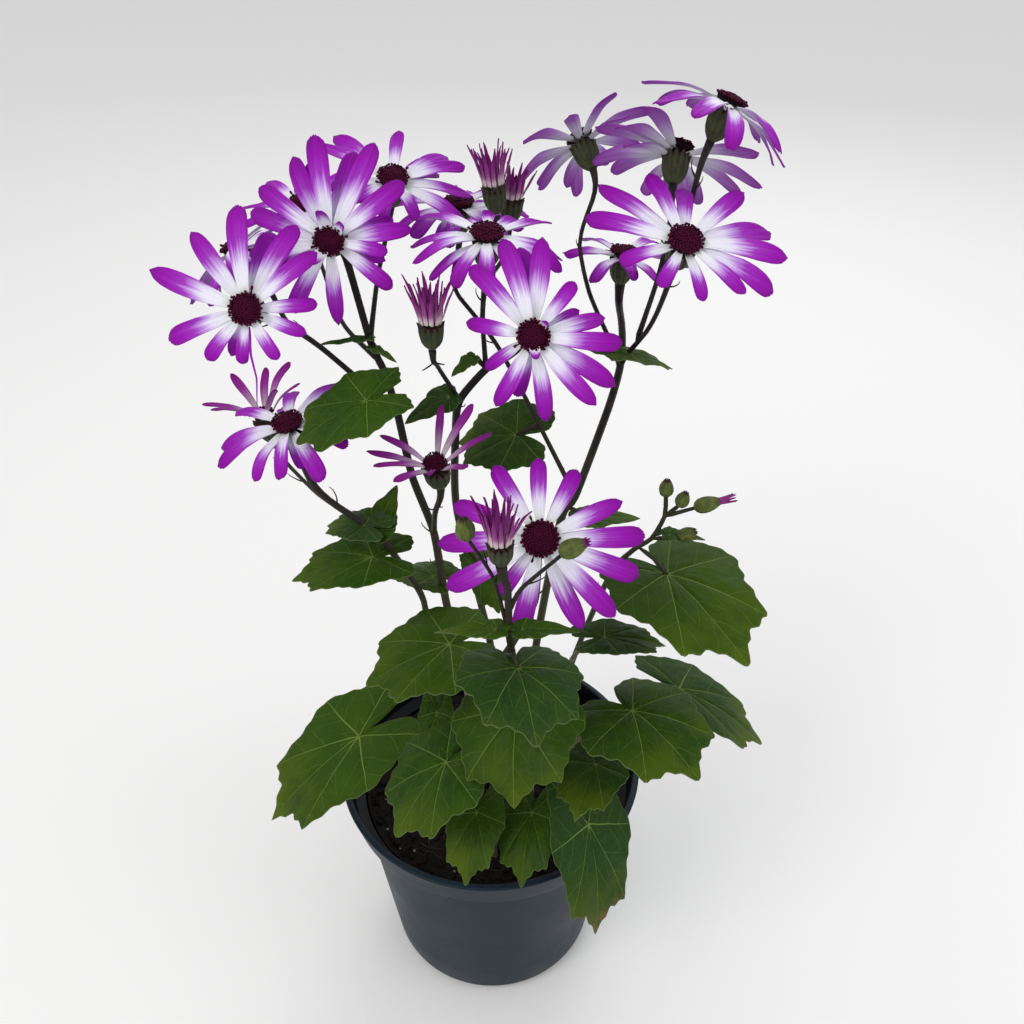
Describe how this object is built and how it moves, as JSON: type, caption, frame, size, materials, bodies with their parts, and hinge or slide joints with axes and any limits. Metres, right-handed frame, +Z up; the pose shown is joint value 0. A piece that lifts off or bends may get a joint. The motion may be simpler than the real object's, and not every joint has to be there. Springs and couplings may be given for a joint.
{
  "type": "potted cineraria",
  "caption": "Florist's cineraria in flower: daisy heads on branching stems over lobed leaves, growing in soil in a round plastic nursery pot.",
  "frame": {"origin": "centre of the pot's flat underside", "axes": "+Z up; the side seen in the picture faces -Y; +X to its right"},
  "size_m": [0.2028, 0.1745, 0.3855],
  "materials": {
    "pot_plastic": "satin moulded plastic",
    "potting_soil": "crumbly dark potting soil",
    "stem": "soft green stalk, dark purple above",
    "leaf": "soft matt leaf with pale veins",
    "ray_florets": "velvety petal, white at its root",
    "disc_florets": "velvety packed florets"
  },
  "bodies": {
    "root": {"bud_rays_back": "ray_florets", "bud_rays_behind": "ray_florets", "bud_rays_front": "ray_florets", "bud_rays_left": "ray_florets", "disc_f01": "disc_florets", "disc_f02": "disc_florets", "disc_f03": "disc_florets", "disc_f04": "disc_florets", "disc_f05": "disc_florets", "disc_f06": "disc_florets", "disc_f07": "disc_florets", "disc_f08": "disc_florets", "disc_f09": "disc_florets", "disc_f10": "disc_florets", "disc_f11": "disc_florets", "disc_f12": "disc_florets", "disc_f13": "disc_florets", "disc_f14": "disc_florets", "disc_f15": "disc_florets", "disc_f16": "disc_florets", "disc_f17": "disc_florets", "leaf_centre_back": "leaf", "leaf_centre_front": "leaf", "leaf_centre_left": "leaf", "leaf_front_drooping": "leaf", "leaf_front_pair": "leaf", "leaf_left_folded": "leaf", "leaf_left_front": "leaf", "leaf_left_low": "leaf", "leaf_right_far": "leaf", "leaf_right_front": "leaf", "leaf_right_low": "leaf", "leaf_right_small": "leaf", "pot": "pot_plastic", "rays_f01": "ray_florets", "rays_f02": "ray_florets", "rays_f03": "ray_florets", "rays_f04": "ray_florets", "rays_f05": "ray_florets", "rays_f06": "ray_florets", "rays_f07": "ray_florets", "rays_f08": "ray_florets", "rays_f09": "ray_florets", "rays_f10": "ray_florets", "rays_f11": "ray_florets", "rays_f12": "ray_florets", "rays_f13": "ray_florets", "rays_f14": "ray_florets", "rays_f15": "ray_florets", "rays_f16": "ray_florets", "rays_f17": "ray_florets", "soil": "potting_soil", "stem_buds": "stem", "stem_front": "stem", "stem_left": "stem", "stem_low_left": "stem", "stem_mid": "stem", "stem_right": "stem"}
  },
  "joints": []
}
